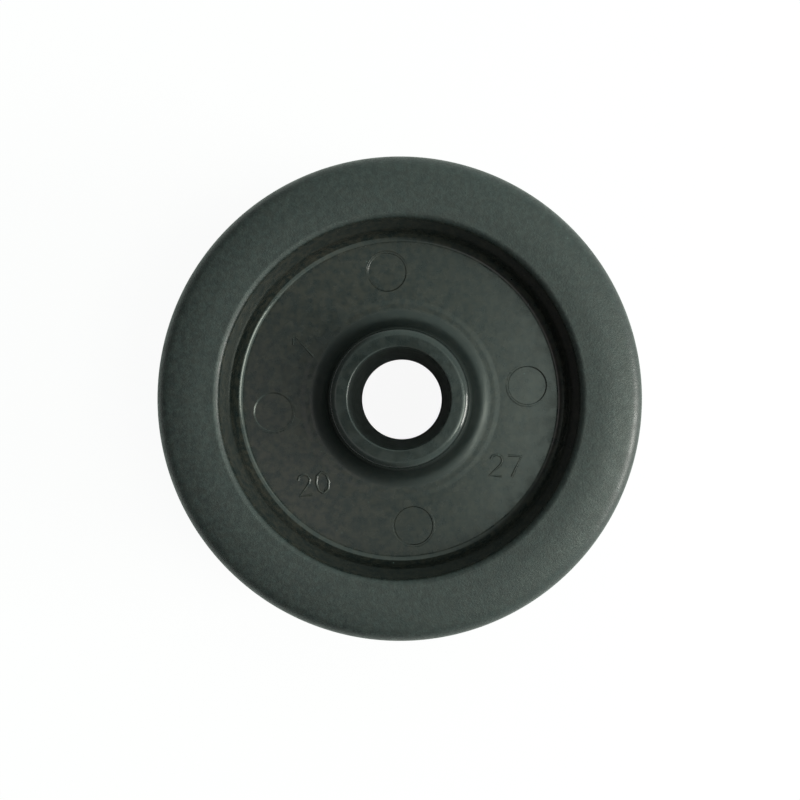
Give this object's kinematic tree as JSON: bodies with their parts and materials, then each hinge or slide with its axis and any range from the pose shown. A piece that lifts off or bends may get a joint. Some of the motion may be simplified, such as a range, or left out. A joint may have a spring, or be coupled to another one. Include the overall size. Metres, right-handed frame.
{
  "type": "plain-bore wheel",
  "caption": "One-piece moulded plastic wheel with a broad smooth rim, a recessed web and a long round hub with a plain bore that turns on an axle.",
  "frame": {"origin": "centre of the axle bore, midway between the two hub faces", "axes": "+Z along the axle, out of the side that carries the ejector marks; the wheel lies on its back hub face"},
  "size_m": [0.05, 0.05, 0.022],
  "materials": {
    "black_plastic": "moulded, satin, with a fine grain on the rim"
  },
  "bodies": {
    "root": {"wheel": "black_plastic"}
  },
  "joints": []
}
